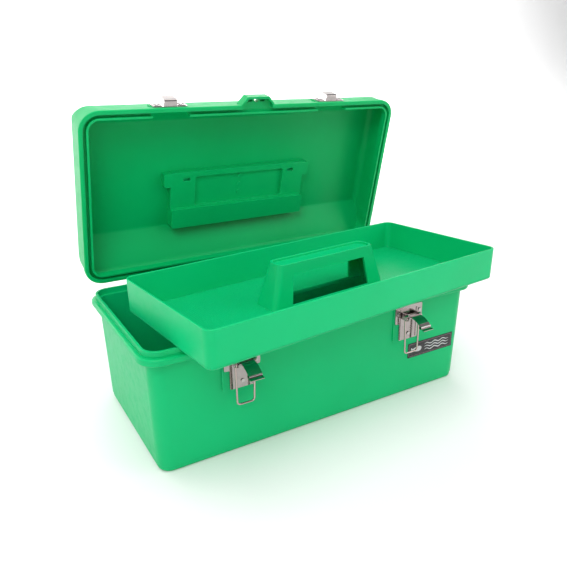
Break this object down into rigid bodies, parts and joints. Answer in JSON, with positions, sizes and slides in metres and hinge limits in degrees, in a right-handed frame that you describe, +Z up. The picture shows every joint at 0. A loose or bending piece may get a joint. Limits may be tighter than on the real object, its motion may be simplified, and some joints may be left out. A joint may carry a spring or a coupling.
{
  "type": "fishing tackle box",
  "caption": "Moulded tackle box with an open hinged lid, folding carry handle, loose lift-out tray and draw latches.",
  "frame": {"origin": "middle of the tub's flat base", "axes": "+X along the box's length, -Y out of the front with the latches, +Z up"},
  "size_m": [0.4968, 0.34, 0.4038],
  "materials": {
    "tub_plastic": "satin moulded polypropylene",
    "lid_plastic": "satin moulded polypropylene",
    "tray_plastic": "satin moulded polypropylene, fine cross-hatch on the floor",
    "handle_plastic": "satin moulded polypropylene",
    "label": "printed foil, gloss",
    "pin_steel": "drawn steel",
    "latch_nickel": "nickel plated pressing",
    "rivet_nickel": "nickel plated, domed",
    "lever_nickel": "nickel plated, bright",
    "bail_wire": "nickel plated wire"
  },
  "bodies": {
    "tub": {"tub": "tub_plastic", "name_plate": "label", "hinge_pin_left": "pin_steel", "latch_plate_left": "latch_nickel", "latch_rivets_left": "rivet_nickel", "latch_pin_left": "pin_steel", "hinge_pin_right": "pin_steel", "latch_plate_right": "latch_nickel", "latch_rivets_right": "rivet_nickel", "latch_pin_right": "pin_steel"},
    "lid": {"lid": "lid_plastic", "handle_pin_left": "pin_steel", "keeper_left": "latch_nickel", "keeper_rivets_left": "rivet_nickel", "handle_pin_right": "pin_steel", "keeper_right": "latch_nickel", "keeper_rivets_right": "rivet_nickel"},
    "tray": {"tray": "tray_plastic"},
    "carry_handle": {"carry_handle": "handle_plastic"},
    "lever_left": {"latch_lever_left": "lever_nickel"},
    "lever_right": {"latch_lever_right": "lever_nickel"},
    "bail_left": {"latch_bail_left": "bail_wire"},
    "bail_right": {"latch_bail_right": "bail_wire"}
  },
  "joints": [
    {"name": "lid_hinge", "type": "hinge", "parent": "tub", "child": "lid", "pos_m": [0, 0.1267, 0.1496], "axis": [1, 0, 0], "range_deg": [0, 77]},
    {"name": "tray_tip", "type": "hinge", "parent": "tub", "child": "tray", "pos_m": [0, -0.14, 0.0232], "axis": [0.9942, 0.108, 0], "range_deg": [0, 90.1]},
    {"name": "carry_handle_hinge", "type": "hinge", "parent": "lid", "child": "carry_handle", "pos_m": [0, 0.136, 0.28845], "axis": [1, 0, 0], "range_deg": [0, 95]},
    {"name": "lever_left_hinge", "type": "hinge", "parent": "tub", "child": "lever_left", "pos_m": [-0.124, -0.1181, 0.1181], "axis": [1, 0, 0], "range_deg": [-40, 66]},
    {"name": "bail_left_hinge", "type": "hinge", "parent": "tub", "child": "bail_left", "pos_m": [-0.124, -0.1181, 0.1181], "axis": [1, 0, 0], "range_deg": [-124, 0]},
    {"name": "lever_right_hinge", "type": "hinge", "parent": "tub", "child": "lever_right", "pos_m": [0.124, -0.1181, 0.1181], "axis": [1, 0, 0], "range_deg": [-40, 66]},
    {"name": "bail_right_hinge", "type": "hinge", "parent": "tub", "child": "bail_right", "pos_m": [0.124, -0.1181, 0.1181], "axis": [1, 0, 0], "range_deg": [-124, 0]}
  ],
  "couplings": [
    {"joint": "tray_tip", "follows": "lid_hinge", "ratio": 1.1688}
  ]
}
